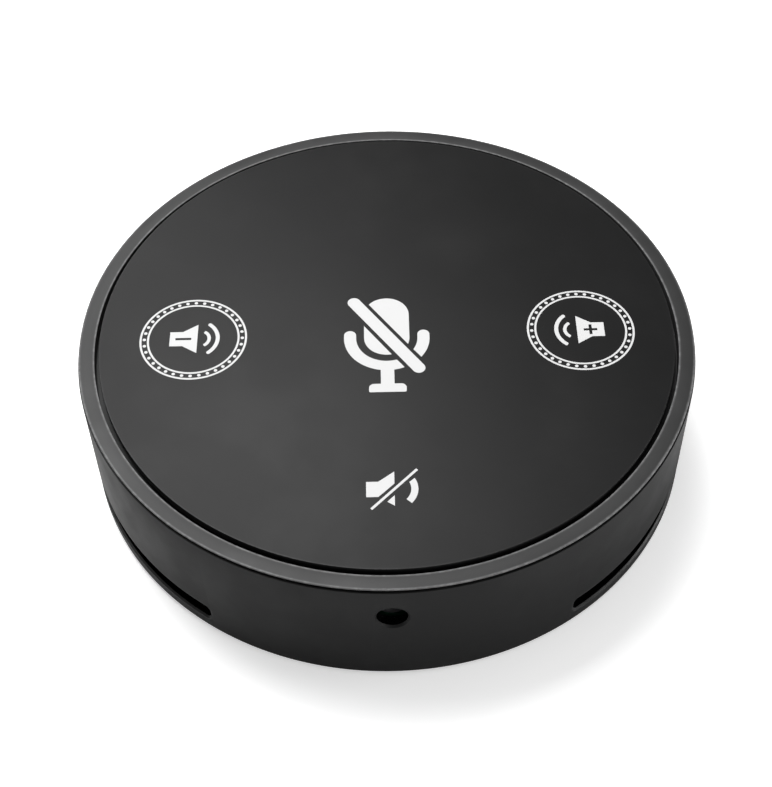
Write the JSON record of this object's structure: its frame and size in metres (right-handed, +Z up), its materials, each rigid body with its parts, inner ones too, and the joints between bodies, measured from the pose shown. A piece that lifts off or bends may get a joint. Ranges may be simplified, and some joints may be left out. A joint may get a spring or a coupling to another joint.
{
  "type": "conference speakerphone",
  "caption": "Low round desk speakerphone with a floating key panel, bezel ring, side sound slots, headset socket in front and cable socket at the back.",
  "frame": {"origin": "on the table under the middle of the round body", "axes": "+Z up, -Y towards the user and the headset socket, +X to the user's right"},
  "size_m": [0.12, 0.12, 0.0286],
  "materials": {
    "wall": "satin black moulded plastic with a fine grain",
    "bezel": "satin dark grey paint on plastic",
    "panel": "satin black lacquered plate with printed white icons",
    "cover": "black moulded plastic with a coarse grain",
    "rubber": "soft black rubber",
    "dust_cloth": "black dust cloth",
    "inner_plastic": "unpainted dark grey moulding",
    "steel": "plain bright steel",
    "circuit_board": "green solder mask",
    "chip_resin": "matt black resin",
    "connector_plastic": "off-white nylon",
    "capacitor_can": "bare drawn can",
    "socket_plastic": "black socket moulding",
    "pressed_steel": "black coated pressed steel",
    "magnet": "nickel plated magnet",
    "copper": "enamelled copper winding",
    "cone_paper": "dark pressed paper",
    "spider_cloth": "amber resin cloth",
    "red_lead": "red insulation",
    "black_lead": "black insulation",
    "dome_steel": "bright spring steel",
    "screw_steel": "black zinc plated steel"
  },
  "bodies": {
    "base": {"amplifier_chip": "chip_resin", "audio_chip": "chip_resin", "baffle_plate": "inner_plastic", "bezel_ring": "bezel", "board_connector": "connector_plastic", "bottom_cover": "cover", "cable_socket": "steel", "cone_surround": "rubber", "cover_screw_1": "screw_steel", "cover_screw_2": "screw_steel", "cover_screw_3": "screw_steel", "cover_screw_4": "screw_steel", "dome_mic_mute": "dome_steel", "dome_speaker_mute": "dome_steel", "dome_volume_down": "dome_steel", "dome_volume_up": "dome_steel", "foot_ring": "rubber", "frame_pin_left": "steel", "frame_pin_right": "steel", "frame_screw_1": "screw_steel", "frame_screw_2": "screw_steel", "frame_screw_3": "screw_steel", "frame_screw_4": "screw_steel", "headset_jack": "socket_plastic", "housing": "wall", "key_board": "circuit_board", "main_board": "circuit_board", "mic_boot_back_left": "rubber", "mic_boot_back_right": "rubber", "mic_boot_front_left": "rubber", "mic_boot_front_right": "rubber", "mic_capsule_back_left": "steel", "mic_capsule_back_right": "steel", "mic_capsule_front_left": "steel", "mic_capsule_front_right": "steel", "mid_frame": "inner_plastic", "pole_plate": "steel", "slot_mesh_left": "dust_cloth", "slot_mesh_right": "dust_cloth", "speaker_basket": "pressed_steel", "speaker_gasket": "rubber", "speaker_magnet": "magnet", "speaker_screw_1": "screw_steel", "speaker_screw_2": "screw_steel", "speaker_screw_3": "screw_steel", "speaker_spider": "spider_cloth", "speaker_wire_black": "black_lead", "speaker_wire_plug": "connector_plastic", "speaker_wire_red": "red_lead", "speaker_yoke": "steel", "supply_capacitor": "capacitor_can"},
    "press_frame": {"press_frame": "inner_plastic", "rocker_pin_front": "steel", "rocker_pin_back": "steel"},
    "key_panel": {"top_panel": "panel", "panel_carrier": "inner_plastic"},
    "speaker_moving": {"voice_coil": "copper", "speaker_cone": "cone_paper", "dust_cap": "cone_paper"}
  },
  "joints": [
    {"name": "panel_press", "type": "hinge", "parent": "base", "child": "press_frame", "pos_m": [0, 0.0445, 0.024], "axis": [1, 0, 0], "range_deg": [0, 0.3], "stiffness_Nm_per_rad": 4, "springref_deg": -0.43},
    {"name": "volume_rock", "type": "hinge", "parent": "press_frame", "child": "key_panel", "pos_m": [0, 0, 0.024], "axis": [0, 1, 0], "range_deg": [-0.4, 0.4], "stiffness_Nm_per_rad": 3},
    {"name": "cone_travel", "type": "slide", "parent": "base", "child": "speaker_moving", "axis": [0, 0, 1], "range_m": [-0.0008, 0.0008], "stiffness_N_per_m": 800}
  ]
}
